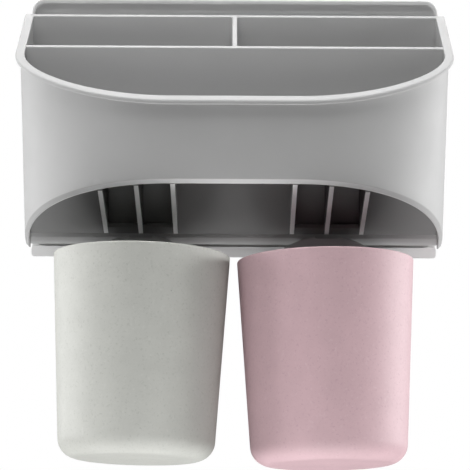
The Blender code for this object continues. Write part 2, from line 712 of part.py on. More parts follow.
def cup(side, sign, finish, parts, cutters):
    """Tapered cup with a rounded base and a flat magnet boss near its rim."""
    outside, inside = cup_profile()
    bm = bmesh.new()
    points = [bm.verts.new((x, 0, z)) for x, z in outside + inside]
    for pair in zip(points, points[1:]):
        bm.edges.new(pair)
    bm.edges.new((points[-1], points[0]))
    axis_edge = bm.edges.get((points[len(outside) - 1], points[len(outside)]))
    bm.edges.remove(axis_edge)
    bmesh.ops.spin(
        bm, geom=bm.verts[:] + bm.edges[:], cent=(0, 0, 0), axis=(0, 0, 1), angle=2 * math.pi,
        steps=CUP_SIDES, use_merge=True,
    )
    bmesh.ops.remove_doubles(bm, verts=bm.verts, dist=1e-6)
    made = add_object(f"cup_{side}", bm, parts, finish)

    boss_depth = BOSS_PROUD + CUP_WALL / 2 + BOSS_RADIUS**2 / (2 * CUP_RIM_RADIUS)
    cap_radius = CUP_MAGNET_RADIUS + CUP_CAP_LEDGE
    step = CUP_CAP_THICKNESS + SEAT_GAP
    floor = step + CUP_MAGNET_THICKNESS + SEAT_GAP
    boss = disc(BOSS_RADIUS, 0.0, boss_depth)
    for name, tool, operation in (
        ("boss", boss, "UNION"),
        ("pocket", disc(CUP_MAGNET_RADIUS + SEAT_GAP, -BLEND, floor), "DIFFERENCE"),
        ("cap_seat", disc(cap_radius + SEAT_GAP, -BLEND, step), "DIFFERENCE"),
    ):
        bmesh.ops.transform(tool, matrix=boss_matrix(), verts=tool.verts)
        combine(made, add_object(f"cup_{name}_{side}", tool, cutters), operation)

    place = cup_matrix(side, sign)
    made.matrix_world = place
    for modifier in made.modifiers:
        modifier.object.matrix_world = place
    cap_object = add_object(f"cup_magnet_cap_{side}", disc(cap_radius, 0.0, CUP_CAP_THICKNESS), parts, finish)
    cap_object.matrix_world = place @ boss_matrix()
    magnet = disc(CUP_MAGNET_RADIUS, 0.0, CUP_MAGNET_THICKNESS)
    magnet_object = add_object(f"cup_magnet_{side}", magnet, parts, "magnet_nickel")
    magnet_object.matrix_world = place @ boss_matrix() @ Matrix.Translation((0, 0, step))
    return made


def main():
    clear_scene()
    parts = new_collection("toothbrush_organiser")
    cutters = new_collection("cutters")
    wall_adhesive_pad(parts)
    wall_plate(parts, cutters)
    organiser_body(parts, cutters)
    brush_rack(parts, cutters)
    finishes = {"left": "cup_stone", "right": "cup_pink"}
    for side, sign in SIDES.items():
        cup_paddle(side, sign, parts, cutters)
        cup(side, sign, finishes[side], parts, cutters)
    for thing in parts.objects:
        shade(thing)


main()
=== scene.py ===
"""Looks of a wall-mounted toothbrush organiser with two hanging cups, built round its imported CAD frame.

Metres, +Z up. The wall is the plane y = 0 and the room is towards -Y, so a depth is minus y.
"""

import logging
import math
from dataclasses import dataclass, field
from enum import Enum

import bmesh
import bpy
from mathutils import Matrix, Vector


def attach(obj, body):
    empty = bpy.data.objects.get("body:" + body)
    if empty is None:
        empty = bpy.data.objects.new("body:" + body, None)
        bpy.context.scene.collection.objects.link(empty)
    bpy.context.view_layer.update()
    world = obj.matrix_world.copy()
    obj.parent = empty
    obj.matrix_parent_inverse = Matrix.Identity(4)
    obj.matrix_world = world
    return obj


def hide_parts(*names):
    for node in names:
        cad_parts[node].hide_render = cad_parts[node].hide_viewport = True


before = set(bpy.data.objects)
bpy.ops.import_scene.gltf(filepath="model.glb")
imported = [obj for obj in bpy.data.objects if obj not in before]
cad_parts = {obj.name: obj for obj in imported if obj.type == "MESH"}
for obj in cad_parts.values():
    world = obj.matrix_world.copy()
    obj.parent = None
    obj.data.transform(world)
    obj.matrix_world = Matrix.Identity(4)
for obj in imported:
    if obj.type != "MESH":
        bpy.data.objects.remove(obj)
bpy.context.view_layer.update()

LOG = logging.getLogger("scene")
RGB = tuple[float, float, float]
Place = tuple[float, float, float]
Point = tuple[float, float]

MM = 0.001
SEAT_GAP = 0.3 * MM  # between pieces that rest in or on each other
SLIDE_GAP = 0.35 * MM  # between the plate's rails and the guides
BLEND = 0.3 * MM  # how far the stops stay inside the guides
SAME_PLACE = 1e-7  # points closer together than this are merged
ROUND_SIDES = 32  # sides of a small round shape
EDGE_ANGLE = 40.0  # degrees above which an edge stays sharp
BOWED_EDGE_ANGLE = 50.0  # the same on the bowed shell and the tumblers


class Side(Enum):
    """A side of the object, with the sign of its x."""

    LEFT = -1
    RIGHT = 1

    @property
    def label(self) -> str:
        """The side's name as the CAD nodes spell it."""
        return self.name.lower()


class Level(Enum):
    """What a height on the body's wall is measured from."""

    TOP = "sloped top"
    RIM = "sloped bottom"
    FIXED = "world zero"
    BETWEEN = "share of the way from the sloped bottom to the sloped top"


@dataclass(frozen=True)
class BodyPlan:
    """Sizes of the organiser's body, as the CAD has them where no comment says otherwise."""

    back: float = 6.4 * MM
    depth: float = 80.1 * MM
    width: float = 192.9 * MM
    side_flare: float = 0.038
    front_flat: float = 56 * MM
    corner_high: float = 30 * MM
    corner_low: float = 72 * MM
    level_high: float = 56 * MM
    level_low: float = -58 * MM
    wall: float = 1.8 * MM
    rim_wall: float = 2.0 * MM
    rim_chamfer: float = 1.5 * MM  # the CAD rounds this edge by 1.4 mm
    top_at_back: float = 52.6 * MM
    top_slope: float = math.radians(28.1)
    rim_at_back: float = -55.5 * MM
    rim_slope: float = math.radians(23.4)
    back_foot: float = 1.5 * MM
    back_chamfer: float = 3.3 * MM
    rack_setback: float = 4.6 * MM
    rack_slope: float = math.radians(45)
    rack_wall: float = 1.8 * MM
    lip_overhang: float = 2.3 * MM
    lip_thickness: float = 2.1 * MM
    lip_round: float = 0.7 * MM  # 0.6 mm in the CAD
    divider_depth: float = 36.8 * MM
    divider_wall: float = 1.8 * MM
    centre_wall: float = 2.2 * MM
    floor_top: float = -8.0 * MM
    floor_wall: float = 2.0 * MM
    pocket_round: float = 1.0 * MM  # crisper than the CAD's 4 mm

    # Fine edges that only the scene has.
    top_edge: float = 0.4 * MM
    rim_edge: float = 0.2 * MM
    lip_fillet: float = 0.5 * MM
    back_edge: float = 0.35 * MM
    divider_edge: float = 0.4 * MM

    # Rows of the inner face, and the two shares of the floor's thickness between which the wall thickens.
    row_below_top: float = 12 * MM
    row_above_floor: float = 2 * MM
    row_above_rim: float = 6 * MM
    thickening: Point = (0.4, 0.6)

    # How finely the wall is divided along its sides, corners and front.
    side_steps: int = 6
    corner_steps: int = 36
    front_steps: int = 5

    def top(self, depth: float) -> float:
        """Height of the sloped top at a depth."""
        return self.top_at_back - (depth - self.back) * math.tan(self.top_slope)

    def rim(self, depth: float) -> float:
        """Height of the sloped bottom at a depth."""
        return self.rim_at_back + (depth - self.back) * math.tan(self.rim_slope)

    def ceiling(self, depth: float) -> float:
        """Height of the brush rack's ceiling at a depth."""
        return self.rim_at_back + self.rack_setback + (depth - self.back) * math.tan(self.rack_slope)

    def plan(self, station: float, level: float, inset: float, back: float) -> Point:
        """A point of the wall's plan.

        Args:
            station: 0 at the right end, 3 at the middle of the front, 6 at the left end.
            level: height of the section.
            inset: how far the curve is moved in from the wall's outer face.
            back: depth of the two ends.

        Returns:
            The point's x and depth.
        """
        sign = 1.0 if station <= 3.0 else -1.0
        along = station if station <= 3.0 else 6.0 - station
        share = (level - self.level_low) / (self.level_high - self.level_low)
        corner = self.corner_low + (self.corner_high - self.corner_low) * share
        half = self.width / 2 - inset
        flat = self.front_flat / 2
        turn = self.depth - corner
        if along <= 1.0:
            depth = back + (turn - back) * along
            return sign * (half - self.side_flare * (turn - depth)), depth
        if along <= 2.0:
            angle = math.pi / 2 * (along - 1.0)
            x = flat + (half - flat) * math.cos(angle)
            return sign * x, turn + (corner - inset) * math.sin(angle)
        return sign * flat * (3.0 - along), self.depth - inset

    def locate(self, station: float, kind: Level, value: float, inset: float) -> Vector:
        """A point of the wall.

        A sloped height depends on the depth, and the depth on the height, so the two are worked out in turn
        until they settle.

        Args:
            station: place along the plan, as plan takes it.
            kind: what the height is measured from.
            value: the height, or the share of the way up.
            inset: how far the point is moved in from the wall's outer face.

        Returns:
            The point.
        """
        rounds = 14
        height = value if kind is Level.FIXED else 0.0
        x = depth = 0.0
        for _ in range(rounds):
            x, depth = self.plan(station, height, inset, self.back)
            if kind is Level.TOP:
                height = self.top(depth) + value
            elif kind is Level.RIM:
                height = self.rim(depth) + value
            elif kind is Level.BETWEEN:
                height = self.rim(depth) * (1 - value) + self.top(depth) * value
        return Vector((x, -depth, height))

    def stations(self) -> list[float]:
        """Stations round the wall, closer together in the curved corners.

        Returns:
            The stations from the right end to the left end.
        """
        half = [i / self.side_steps for i in range(self.side_steps)]
        half += [1 + i / self.corner_steps for i in range(self.corner_steps)]
        half += [2 + i / self.front_steps for i in range(self.front_steps + 1)]
        return half + [6.0 - s for s in reversed(half[:-1])]


@dataclass(frozen=True)
class PostPlan:
    """Sizes and places of the posts under the floor, as the CAD has them, apart from their sloped ends."""

    radius: float = 3.0 * MM
    collar_wall: float = 1.5 * MM
    side_spacing: float = 150 * MM
    side_depth: float = 33 * MM
    back_depth: float = 24 * MM
    lead: float = 0.5 * MM

    def places(self) -> list[Point]:
        """The x and the depth of each post."""
        side = self.side_spacing / 2
        return [(-side, self.side_depth), (side, self.side_depth), (0.0, self.back_depth)]


@dataclass(frozen=True)
class SlidePlan:
    """Sizes of the plate's dovetail rails and the guides on them, as in the CAD apart from the edges."""

    spacing: float = 90 * MM
    plate_front: float = 4.4 * MM
    plate_panel: float = 3.0 * MM
    rail_bottom: float = -5.0 * MM
    rail_length: float = 32 * MM
    rail_root: float = 7.0 * MM
    rail_tip: float = 13.0 * MM
    rail_height: float = 3.0 * MM
    guide_width: float = 20 * MM
    stop_height: float = 4.0 * MM
    guide_edge: float = 0.3 * MM
    stop_edge: float = 0.2 * MM

    def flank(self, depth: float) -> float:
        """Distance from a guide's middle to its sloped flank, which follows the rail's.

        Args:
            depth: depth of the place on the flank.

        Returns:
            The distance along x.
        """
        growth = (self.rail_tip - self.rail_root) / self.rail_height
        return (self.rail_root + growth * (depth - self.plate_panel)) / 2 + SLIDE_GAP


@dataclass(frozen=True)
class CupPlan:
    """Sizes and place of the cups, as the CAD has them where no comment says otherwise."""

    rim_radius: float = 39.3 * MM
    base_radius: float = 34.3 * MM
    height: float = 90.9 * MM
    wall: float = 1.8 * MM
    base_round: float = 8.8 * MM
    rim_round: float = 0.6 * MM
    tilt: float = math.radians(12.3)
    splay: float = math.radians(1.1)
    spacing: float = 82.2 * MM
    drop_left: float = 0.0
    drop_right: float = 2.0 * MM
    boss_radius: float = 11.0 * MM
    boss_proud: float = 1.5 * MM
    boss_drop: float = 17.0 * MM
    cap_radius: float = 8.6 * MM
    cap_thickness: float = 0.7 * MM
    magnet_radius: float = 7.2 * MM
    magnet_thickness: float = 1.3 * MM

    # Fine shapes that only the scene has. The last four are in millimetres.
    shy: float = 0.02 * MM
    lip_shy: float = 0.03 * MM
    boss_edge: float = 0.5 * MM
    boss_land: float = 0.4 * MM
    floor_ring: float = 8 * MM
    moulding_mark: tuple[Point, ...] = ((0.0, 0.0), (0.8, 0.01), (1.1, 0.06), (1.4, 0.20))
    hollow_base: tuple[Point, ...] = ((2.6, 0.22), (6.0, 0.22), (12.0, 0.18), (18.0, 0.08))
    outer_rows: tuple[float, ...] = (11, 22, 34, 46, 58, 70, 80, 87, 89.7)
    inner_rows: tuple[float, ...] = (89.3, 80, 64, 48, 32, 18, 11)

    # Sides of the turned shapes.
    sides: int = 144
    boss_sides: int = 72
    pocket_sides: int = 64

    @property
    def taper(self) -> float:
        """Angle between the cup's side and its axis."""
        return math.atan((self.rim_radius - self.base_radius) / self.height)

    def radius(self, height: float) -> float:
        """Outer radius at a height above the base, just inside the CAD's outline."""
        return self.base_radius + (self.rim_radius - self.base_radius) * height / self.height - self.shy


@dataclass(frozen=True)
class PaddlePlan:
    """Place of the round paddles that the cups hang on, and sizes of the tongues that carry them."""

    radius: float = 34.7 * MM
    thickness: float = 4.7 * MM
    spacing: float = 86.0 * MM
    top_depth: float = 12.8 * MM
    top_height: float = -49.0 * MM
    tongue_width: float = 24.0 * MM
    tongue_wall: float = 2.0 * MM
    tongue_below: float = 12.5 * MM
    tongue_short: float = 2.0 * MM  # how far it ends below the paddle's top
    tongue_edge: float = 0.3 * MM
    tongue_inset: float = 0.2 * MM  # how far it stays in front of the back wall's rear face
    pin_radius: float = 1.6 * MM
    pin_heights: tuple[float, float] = (15.0 * MM, 24.0 * MM)

    def matrix(self, side: Side, lean: float) -> Matrix:
        """Frame of a paddle's front face: Z out of the face, Y up along it.

        Args:
            side: the paddle's side of the object.
            lean: how far the face leans, in radians.

        Returns:
            The frame, with its origin at the face's centre.
        """
        top = Vector((side.value * self.spacing / 2, -self.top_depth, self.top_height))
        upwards = Vector((0, math.sin(lean), math.cos(lean)))
        turn = Matrix.Rotation(math.pi / 2 - lean, 4, "X")
        return Matrix.Translation(top - upwards * self.radius) @ turn


BODY = BodyPlan()
POST = PostPlan()
SLIDE = SlidePlan()
CUP = CupPlan()
PADDLE = PaddlePlan()
LEAN = CUP.tilt + CUP.taper


class Graph:
    """A material's node tree, with short calls to add and join nodes."""

    def __init__(self, name: str) -> None:
        """Starts a material.

        Args:
            name: the material's name.
        """
        self.material = bpy.data.materials.new(name)
        self.material.use_nodes = True
        self.nodes = self.material.node_tree.nodes
        self.links = self.material.node_tree.links
        self.shader = self.nodes["Principled BSDF"]
        self.place = self.add("ShaderNodeTexCoord").outputs["Object"]

    def add(self, kind: str, **settings: object) -> bpy.types.Node:
        """Adds a node and sets its properties.

        Args:
            kind: the node's type.
            settings: properties by name.

        Returns:
            The new node.
        """
        node = self.nodes.new(kind)
        for name, value in settings.items():
            setattr(node, name, value)
        return node

    def noise(self, scale: float, detail: float, roughness: float = 0.5) -> bpy.types.NodeSocket:
        """Noise in object coordinates.

        Args:
            scale: features per metre.
            detail: octaves.
            roughness: how strong the finer octaves are.

        Returns:
            The socket with the noise value.
        """
        node = self.add("ShaderNodeTexNoise")
        node.inputs["Scale"].default_value = scale
        node.inputs["Detail"].default_value = detail
        node.inputs["Roughness"].default_value = roughness
        self.links.new(self.place, node.inputs["Vector"])
        return node.outputs["Fac"]

    def cells(self, scale: float) -> bpy.types.Node:
        """Scattered cells in object coordinates.

        Args:
            scale: cells per metre.

        Returns:
            The node, with a distance and a colour for each cell.
        """
        node = self.add("ShaderNodeTexVoronoi")
        node.inputs["Scale"].default_value = scale
        self.links.new(self.place, node.inputs["Vector"])
        return node

    def span(
        self, source: bpy.types.NodeSocket, low: float, high: float, to: Point = (0.0, 1.0)
    ) -> bpy.types.NodeSocket:
        """Maps a range onto another one, clamped.

        Args:
            source: the value to map.
            low: start of its range.
            high: end of its range.
            to: start and end of the new range.

        Returns:
            The socket with the mapped value.
        """
        node = self.add("ShaderNodeMapRange")
        self.links.new(source, node.inputs["Value"])
        for name, value in (("From Min", low), ("From Max", high), ("To Min", to[0]), ("To Max", to[1])):
            node.inputs[name].default_value = value
        return node.outputs["Result"]

    def mix(self, share: bpy.types.NodeSocket, one: object, two: object) -> bpy.types.NodeSocket:
        """Blends two colours.

        Args:
            share: how much of the second colour shows, from 0 to 1.
            one: the first colour, a socket or a plain colour.
            two: the second colour, of either kind.

        Returns:
            The socket with the blend.
        """
        node = self.add("ShaderNodeMix", data_type="RGBA")
        self.links.new(share, node.inputs[0])
        for socket, colour in ((node.inputs[6], one), (node.inputs[7], two)):
            if isinstance(colour, bpy.types.NodeSocket):
                self.links.new(colour, socket)
            else:
                socket.default_value = (*colour, 1.0)
        return node.outputs[2]

    def bump(
        self, height: bpy.types.NodeSocket, strength: float, distance: float, under: object = None
    ) -> bpy.types.NodeSocket:
        """Turns heights into bumps, on top of others where there are any.

        Args:
            height: the heights.
            strength: share of the effect.
            distance: metres that a height of 1 stands for.
            under: the normal socket of the bumps underneath, or None.

        Returns:
            The socket with the bumped normal.
        """
        node = self.add("ShaderNodeBump")
        node.inputs["Strength"].default_value = strength
        node.inputs["Distance"].default_value = distance
        self.links.new(height, node.inputs["Height"])
        if under is not None:
            self.links.new(under, node.inputs["Normal"])
        return node.outputs["Normal"]

    def join(self, source: bpy.types.NodeSocket, name: str) -> None:
        """Feeds an input of the shader."""
        self.links.new(source, self.shader.inputs[name])

    def set(self, name: str, value: object) -> None:
        """Sets an input of the shader."""
        self.shader.inputs[name].default_value = value


def shade(colour: RGB, share: float) -> RGB:
    """The colour times a share, held to 1."""
    return tuple(min(1.0, c * share) for c in colour)


@dataclass(frozen=True)
class MouldedPlastic:
    """Satin moulded plastic: soft mottling, dust, fine grain, pale edges, and a painted highlight that makes
    the faces turned one way paler, standing in for light from below and in front.
    """

    name: str
    colour: RGB
    roughness: float = 0.60
    grain: float = 0.12
    mottle: float = 0.03
    specular: float = 0.30
    # A painted highlight: faces turned towards the given way have their colour raised by the given share,
    # standing in for light from below and in front.
    painted_light: float = 1.5
    painted_light_way: Place = (0.0, -0.65, -0.76)
    painted_light_reach: Point = (0.93, 0.97)
    cloud_scale: float = 38.0
    dust_scale: float = 2600.0
    dust_share: float = 0.35
    dust_tone: float = 0.86
    edge_share: float = 0.5
    edge_tone: float = 1.10
    wear_scale: float = 160.0
    wave_scale: float = 210.0
    wave: float = 0.06
    wave_height: float = 0.4 * MM
    grain_scale: float = 3200.0
    grain_height: float = 0.05 * MM

    def make(self) -> bpy.types.Material:
        """Builds the material.

        Returns:
            The finished material.
        """
        graph = Graph(self.name)
        cloud = graph.span(graph.noise(self.cloud_scale, 3.0), 0.35, 0.65)
        tone = graph.mix(cloud, shade(self.colour, 1 - self.mottle), self.colour)
        dust = graph.span(graph.noise(self.dust_scale, 1.0), 0.70, 0.80, (0.0, self.dust_share))
        tone = graph.mix(dust, tone, shade(self.colour, self.dust_tone))
        surface = graph.add("ShaderNodeNewGeometry")
        edge = graph.span(surface.outputs["Pointiness"], 0.51, 0.56, (0.0, self.edge_share))
        tone = graph.mix(edge, tone, shade(self.colour, self.edge_tone))
        # Painted highlight: contact is how far each face is turned the given way, and those faces are painted
        # paler to stand in for light from below and in front.
        facing = graph.add("ShaderNodeVectorMath", operation="DOT_PRODUCT")
        graph.links.new(surface.outputs["Normal"], facing.inputs[0])
        facing.inputs[1].default_value = self.painted_light_way
        contact = graph.span(facing.outputs["Value"], *self.painted_light_reach)
        graph.join(graph.mix(contact, tone, shade(self.colour, self.painted_light)), "Base Color")
        spread = (self.roughness - 0.04, self.roughness + 0.05)
        graph.join(graph.span(graph.noise(self.wear_scale, 4.0, 0.6), 0.3, 0.7, spread), "Roughness")
        wave = graph.bump(graph.noise(self.wave_scale, 2.0), self.wave, self.wave_height)
        fine = graph.noise(self.grain_scale, 2.0)
        graph.join(graph.bump(fine, self.grain, self.grain_height, wave), "Normal")
        graph.set("Specular IOR Level", self.specular)
        return graph.material


@dataclass(frozen=True)
class FibrePlastic:
    """Matt plastic filled with fine plant fibre: mottled, with dark and pale flecks and a few dark spots."""

    name: str
    colour: RGB
    fleck_dark: RGB
    fleck_pale: RGB
    roughness: float = 0.58
    specular: float = 0.35
    cloud_scale: float = 90.0
    cloud_tones: Point = (0.95, 1.02)
    dark_scale: float = 950.0
    dark_share: float = 0.42
    pale_scale: float = 720.0
    pale_share: float = 0.22
    spot_scale: float = 300.0
    spot_share: float = 0.65
    spot_tone: float = 0.62
    wave_scale: float = 150.0
    wave: float = 0.05
    wave_height: float = 0.5 * MM
    grain: float = 0.16
    grain_height: float = 0.06 * MM

    def make(self) -> bpy.types.Material:
        """Builds the material.

        Returns:
            The finished material.
        """
        graph = Graph(self.name)
        cloud = graph.span(graph.noise(self.cloud_scale, 4.0, 0.6), 0.30, 0.70)
        tone = graph.mix(cloud, *[shade(self.colour, share) for share in self.cloud_tones])
        small = graph.noise(self.dark_scale, 2.0, 0.6)
        tone = graph.mix(graph.span(small, 0.58, 0.74, (0.0, self.dark_share)), tone, self.fleck_dark)
        other = graph.noise(self.pale_scale, 1.5)
        tone = graph.mix(graph.span(other, 0.62, 0.76, (0.0, self.pale_share)), tone, self.fleck_pale)
        cells = graph.cells(self.spot_scale)
        chosen = graph.span(cells.outputs["Color"], 0.93, 0.95)
        near = graph.span(cells.outputs["Distance"], 0.08, 0.16, (self.spot_share, 0.0))
        spot = graph.add("ShaderNodeMath", operation="MULTIPLY")
        graph.links.new(chosen, spot.inputs[0])
        graph.links.new(near, spot.inputs[1])
        tone = graph.mix(spot.outputs[0], tone, shade(self.fleck_dark, self.spot_tone))
        graph.join(tone, "Base Color")
        spread = (self.roughness - 0.05, self.roughness + 0.07)
        graph.join(graph.span(small, 0.3, 0.7, spread), "Roughness")
        wave = graph.bump(graph.noise(self.wave_scale, 2.0), self.wave, self.wave_height)
        graph.join(graph.bump(small, self.grain, self.grain_height, wave), "Normal")
        graph.set("Specular IOR Level", self.specular)
        return graph.material


@dataclass(frozen=True)
class PlatedMetal:
    """Plated magnet: a mottled tone, a gloss that varies, and fine scuffs."""

    name: str
    colour: RGB = (0.62, 0.61, 0.59)
    cloud_scale: float = 400.0
    cloud_tone: float = 0.88
    wear_scale: float = 900.0
    gloss: Point = (0.22, 0.40)
    scuff_scale: float = 2400.0
    scuff: float = 0.1
    scuff_height: float = 0.04 * MM

    def make(self) -> bpy.types.Material:
        """Builds the material.

        Returns:
            The finished material.
        """
        graph = Graph(self.name)
        cloud = graph.span(graph.noise(self.cloud_scale, 4.0), 0.3, 0.7)
        graph.join(graph.mix(cloud, shade(self.colour, self.cloud_tone), self.colour), "Base Color")
        graph.join(graph.span(graph.noise(self.wear_scale, 5.0, 0.7), 0.3, 0.7, self.gloss), "Roughness")
        graph.join(graph.bump(graph.noise(self.scuff_scale, 2.0), self.scuff, self.scuff_height), "Normal")
        graph.set("Metallic", 1.0)
        return graph.material


@dataclass(frozen=True)
class FoamPad:
    """Off-white adhesive foam with open cells."""

    name: str
    colour: RGB = (0.80, 0.80, 0.77)
    cell_scale: float = 1500.0
    pore_tone: float = 0.80
    wear_scale: float = 500.0
    gloss: Point = (0.75, 0.92)
    pore: float = 0.4
    pore_height: float = 0.2 * MM

    def make(self) -> bpy.types.Material:
        """Builds the material.

        Returns:
            The finished material.
        """
        graph = Graph(self.name)
        distance = graph.cells(self.cell_scale).outputs["Distance"]
        pore = graph.span(distance, 0.1, 0.6)
        graph.join(graph.mix(pore, shade(self.colour, self.pore_tone), self.colour), "Base Color")
        graph.join(graph.span(graph.noise(self.wear_scale, 3.0), 0.3, 0.7, self.gloss), "Roughness")
        graph.join(graph.bump(distance, self.pore, self.pore_height), "Normal")
        return graph.material


# The body and the plate keep the default painted highlight: their faces turned down and forward are painted
# 1.5 and 1.1 times paler, standing in for light from below.
BODY_PLASTIC = MouldedPlastic("body_plastic", (0.43, 0.43, 0.43))
PLATE_PLASTIC = MouldedPlastic("plate_plastic", (0.74, 0.74, 0.74), roughness=0.62, painted_light=1.1)
# Painted shade and painted highlight: the rack is the body's pale plastic, painted much darker to stand in
# for the shade under the body and behind the cups, while its downward faces, the bottoms of the ribs, are
# painted almost white to stand in for light from below.
RACK_PAINTED_SHADE_PLASTIC = MouldedPlastic(
    "rack_painted_shade_plastic", (0.22, 0.22, 0.22), roughness=0.62, painted_light=4.2, painted_light_way=(0.0, -0.34, -0.94)
)
# Painted light: the paddles are the body's plastic, painted paler than the body to stand in for light that
# reaches them in the shade between the cups and the body.
PADDLE_PAINTED_LIGHT_PLASTIC = MouldedPlastic("paddle_painted_light_plastic", (0.50, 0.50, 0.50))
STONE_PLASTIC = FibrePlastic(
    "stone_fibre_plastic", (0.49, 0.495, 0.465), (0.31, 0.32, 0.29), (0.60, 0.60, 0.57)
)
PINK_PLASTIC = FibrePlastic(
    "pink_fibre_plastic", (0.56, 0.39, 0.42), (0.40, 0.26, 0.30), (0.65, 0.53, 0.55)
)


@dataclass
class Finishes:
    """Every material of the part, made once."""

    body: bpy.types.Material = field(default_factory=BODY_PLASTIC.make)
    plate: bpy.types.Material = field(default_factory=PLATE_PLASTIC.make)
    rack: bpy.types.Material = field(default_factory=RACK_PAINTED_SHADE_PLASTIC.make)
    paddle: bpy.types.Material = field(default_factory=PADDLE_PAINTED_LIGHT_PLASTIC.make)
    stone: bpy.types.Material = field(default_factory=STONE_PLASTIC.make)
    pink: bpy.types.Material = field(default_factory=PINK_PLASTIC.make)
    magnet: bpy.types.Material = field(default_factory=PlatedMetal("plated_magnet").make)
    foam: bpy.types.Material = field(default_factory=FoamPad("adhesive_foam").make)

    def cup(self, side: Side) -> bpy.types.Material:
        """The finish of the cup on a side."""
        return self.stone if side is Side.LEFT else self.pink


def finish_mesh(
    name: str,
    bm: bmesh.types.BMesh,
    material: bpy.types.Material,
    body: str,
    sharp: float = EDGE_ANGLE,
) -> bpy.types.Object:
    """Turns a bmesh into a smooth-shaded piece that rides on a body.

    Args:
        name: the piece's name.
        bm: its mesh, which is freed.
        material: its material.
        body: the CAD body that carries it.
        sharp: edges sharper than this angle, in degrees, stay sharp.

    Returns:
        The new object.
    """
    bmesh.ops.remove_doubles(bm, verts=bm.verts, dist=SAME_PLACE)
    bmesh.ops.recalc_face_normals(bm, faces=bm.faces)
    mesh = bpy.data.meshes.new(name)
    bm.to_mesh(mesh)
    bm.free()
    piece = bpy.data.objects.new(name, mesh)
    bpy.context.scene.collection.objects.link(piece)
    mesh.materials.append(material)
    mesh.shade_smooth()
    mesh.set_sharp_from_angle(angle=math.radians(sharp))
    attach(piece, body)
    LOG.info("%s: %d faces, rides on %s", name, len(mesh.polygons), body)
    return piece


def prism(outline: list[Point], low: float, high: float) -> bmesh.types.BMesh:
    """A solid over a flat outline.

    Args:
        outline: (x, y) points.
        low: height of its bottom.
        high: height of its top.

    Returns:
        The solid.
    """
    bm = bmesh.new()
    face = bm.faces.new([bm.verts.new((x, y, low)) for x, y in outline])
    grown = bmesh.ops.extrude_face_region(bm, geom=[face])["geom"]
    lifted = [part for part in grown if isinstance(part, bmesh.types.BMVert)]
    bmesh.ops.translate(bm, verts=lifted, vec=(0, 0, high - low))
    bmesh.ops.recalc_face_normals(bm, faces=bm.faces)
    return bm


def prism_along_x(profile: list[Point], low: float, high: float) -> bmesh.types.BMesh:
    """A solid over a profile seen from the side.

    Args:
        profile: (depth, z) points.
        low: the smaller x of its two ends.
        high: the larger x.

    Returns:
        The solid.
    """
    bm = prism([(-depth, z) for depth, z in profile], low, high)
    turn = Matrix(((0, 0, 1, 0), (1, 0, 0, 0), (0, 1, 0, 0), (0, 0, 0, 1)))
    return moved(bm, turn)


def moved(bm: bmesh.types.BMesh, matrix: Matrix) -> bmesh.types.BMesh:
    """Moves a bmesh by a matrix and hands it back."""
    bmesh.ops.transform(bm, matrix=matrix, verts=bm.verts)
    return bm


def soften(bm: bmesh.types.BMesh, width: float, segments: int = 3, least: float = 25.0) -> bmesh.types.BMesh:
    """Rounds the sharp edges of a solid.

    Args:
        bm: the solid.
        width: width of the rounding.
        segments: steps across it.
        least: edges below this angle, in degrees, are left.

    Returns:
        The same solid.
    """
    edges = [e for e in bm.edges if e.calc_face_angle(0) > math.radians(least)]
    bmesh.ops.bevel(
        bm, geom=edges, offset=width, segments=segments, profile=0.5, affect="EDGES", material=-1,
        clamp_overlap=True,
    )
    return bm


def cut_flat(bm: bmesh.types.BMesh, point: Vector, normal: Vector) -> None:
    """Takes away what lies beyond a plane and closes the cut.

    Args:
        bm: the solid.
        point: a point of the plane.
        normal: its normal, towards what is taken away.
    """
    geom = bm.verts[:] + bm.edges[:] + bm.faces[:]
    cut = bmesh.ops.bisect_plane(bm, geom=geom, plane_co=point, plane_no=normal, clear_outer=True)
    edges = [part for part in cut["geom_cut"] if isinstance(part, bmesh.types.BMEdge)]
    bmesh.ops.contextual_create(bm, geom=edges)


def turned(profile: list[Point], sides: int) -> bmesh.types.BMesh:
    """A solid of revolution about Z.

    Args:
        profile: (radius, height) points, from one on the axis to another.
        sides: sides of the circle.

    Returns:
        The solid.
    """
    bm = bmesh.new()
    points = [bm.verts.new((radius, 0, height)) for radius, height in profile]
    for pair in zip(points, points[1:]):
        bm.edges.new(pair)
    bmesh.ops.spin(
        bm, geom=bm.verts[:] + bm.edges[:], cent=(0, 0, 0), axis=(0, 0, 1), angle=2 * math.pi,
        steps=sides, use_merge=True,
    )
    bmesh.ops.remove_doubles(bm, verts=bm.verts, dist=SAME_PLACE)
    return bm


def arc(centre: Point, radius: float, start: float, end: float, steps: int) -> list[Point]:
    """Points of a circular arc.

    Args:
        centre: its centre.
        radius: its radius.
        start: angle of its first point, in degrees.
        end: angle of its last point.
        steps: steps between the two.

    Returns:
        The points, both ends included.
    """
    turns = [math.radians(start + (end - start) * i / steps) for i in range(steps + 1)]
    return [(centre[0] + radius * math.cos(a), centre[1] + radius * math.sin(a)) for a in turns]


def shares(*turns: float) -> list[Point]:
    """For each angle in degrees, 1 less its cosine and 1 less its sine: steps of a rounded corner."""
    return [(1 - math.cos(math.radians(turn)), 1 - math.sin(math.radians(turn))) for turn in turns]


def cut_hole(piece: bpy.types.Object, hole: bmesh.types.BMesh) -> None:
    """Cuts a solid out of a piece and applies the cut.

    Args:
        piece: the piece.
        hole: the solid, which is freed.
    """
    bmesh.ops.recalc_face_normals(hole, faces=hole.faces)
    mesh = bpy.data.meshes.new("hole")
    hole.to_mesh(mesh)
    hole.free()
    cutter = bpy.data.objects.new("hole", mesh)
    bpy.context.scene.collection.objects.link(cutter)
    step = piece.modifiers.new("hole", "BOOLEAN")
    step.operation, step.solver, step.object = "DIFFERENCE", "EXACT", cutter
    bpy.context.view_layer.update()
    shape = bpy.data.meshes.new_from_object(piece.evaluated_get(bpy.context.evaluated_depsgraph_get()))
    piece.modifiers.remove(step)
    shape.name = piece.name
    piece.data = shape
    shape.set_sharp_from_angle(angle=math.radians(EDGE_ANGLE))
    bpy.data.objects.remove(cutter, do_unlink=True)


